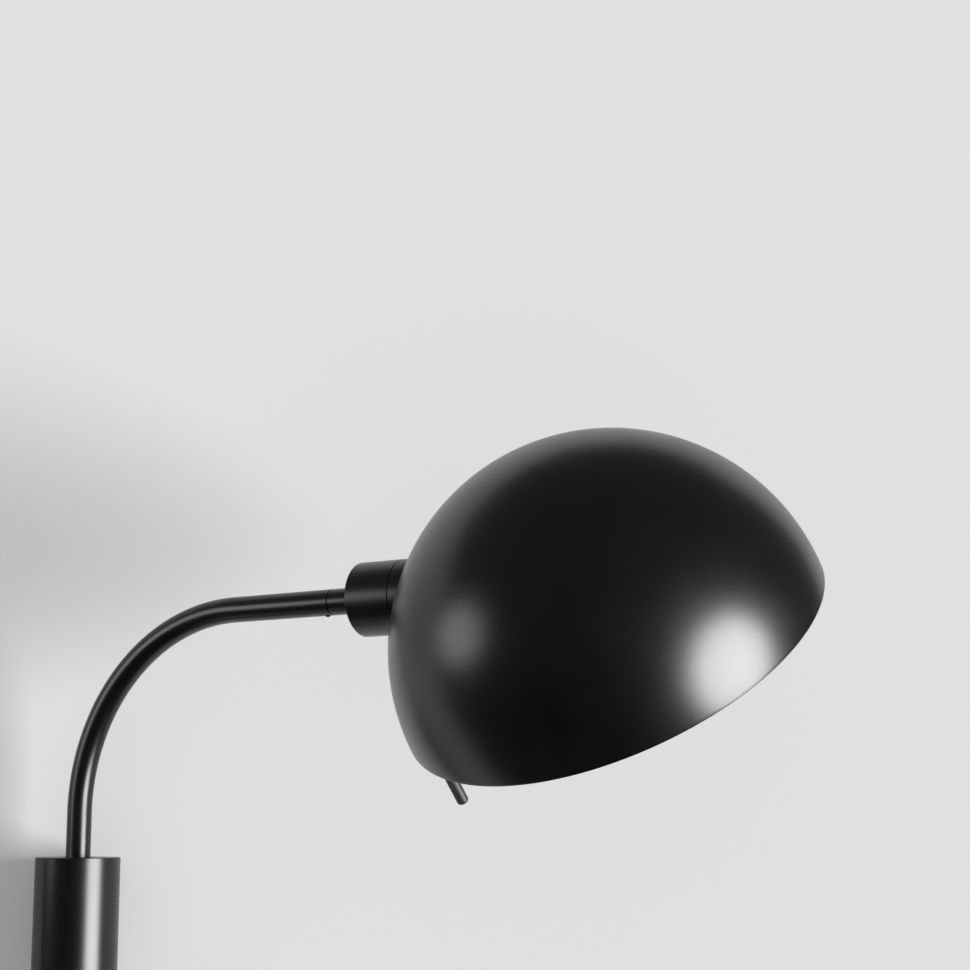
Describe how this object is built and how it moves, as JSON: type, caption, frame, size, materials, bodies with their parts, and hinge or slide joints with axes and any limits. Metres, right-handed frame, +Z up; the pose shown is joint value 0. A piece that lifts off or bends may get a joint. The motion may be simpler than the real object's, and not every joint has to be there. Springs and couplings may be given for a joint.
{
  "type": "wall lamp",
  "caption": "Wall lamp with a vertical stem held flat on the wall, a bent tube arm that swings in its top and a half-sphere metal shade that turns on the arm's end",
  "frame": {"origin": "Centre of the wall plate's two slots, on its back face, where the wall is.", "axes": "Z up along the stem, Y into the wall, so the lamp reaches out along -Y; X across, to the right for someone facing the wall. At rest the arm is swung 57.6 degrees to the right of straight out, as in the picture."},
  "size_m": [0.4114, 0.2902, 0.4039],
  "materials": {
    "black_paint": "satin",
    "black_screw": "blackened",
    "zinc_steel": "zinc plated",
    "turned_aluminium": "turned",
    "brass": "turned",
    "black_plastic": "moulded",
    "pale_plastic": "moulded",
    "holder_plastic": "moulded",
    "fibre": "pressed fibre",
    "rubber": "matte",
    "opal_glass": "opal",
    "bulb_metal": "rolled"
  },
  "bodies": {
    "wall_mount": {"wall_plate": "zinc_steel", "hanging_studs": "zinc_steel", "cable_bush": "black_plastic", "stem_tube": "black_paint", "upper_bush": "black_plastic", "bearing_block": "turned_aluminium", "bearing_block_screws": "black_screw", "lower_bush": "brass", "friction_washer": "fibre", "stop_pins": "zinc_steel", "bottom_cap": "black_paint", "bottom_cap_screw": "black_screw", "terminal_block": "pale_plastic", "terminal_screws": "brass", "terminal_block_screws": "zinc_steel", "earth_screw": "brass"},
    "arm": {"arm_tube": "black_paint", "thrust_collar": "zinc_steel", "retaining_collar": "zinc_steel", "collar_screws": "black_screw", "arm_grommet": "rubber", "swivel_screw": "black_screw"},
    "shade_head": {"swivel_spigot": "black_paint", "friction_ring": "rubber", "hub": "black_paint", "hub_ring": "black_paint", "shade": "black_paint", "inner_saddle": "zinc_steel", "threaded_nipple": "zinc_steel", "lock_nut": "zinc_steel", "lampholder_cap": "holder_plastic", "lampholder_body": "holder_plastic", "centre_contact": "brass", "bulb_contact": "brass", "bulb_cap": "bulb_metal", "bulb_glass": "opal_glass", "switch_bracket": "black_paint", "switch_body": "black_plastic", "switch_nut": "zinc_steel"},
    "switch_lever": {"switch_lever": "black_paint"}
  },
  "joints": [
    {"name": "arm_swing", "type": "hinge", "parent": "wall_mount", "child": "arm", "pos_m": [0, -0.0261, 0.115], "axis": [0, 0, 1], "range_deg": [-122.6, 7.4]},
    {"name": "shade_swivel", "type": "hinge", "parent": "arm", "child": "shade_head", "pos_m": [0.1486, -0.12041, 0.25], "axis": [0.8443, -0.5358, 0], "range_deg": [-128, 52]},
    {"name": "switch_toggle", "type": "hinge", "parent": "shade_head", "child": "switch_lever", "pos_m": [0.20109, -0.20042, 0.1712], "axis": [-0.8253, -0.1593, -0.5418], "range_deg": [-20, 0]}
  ]
}
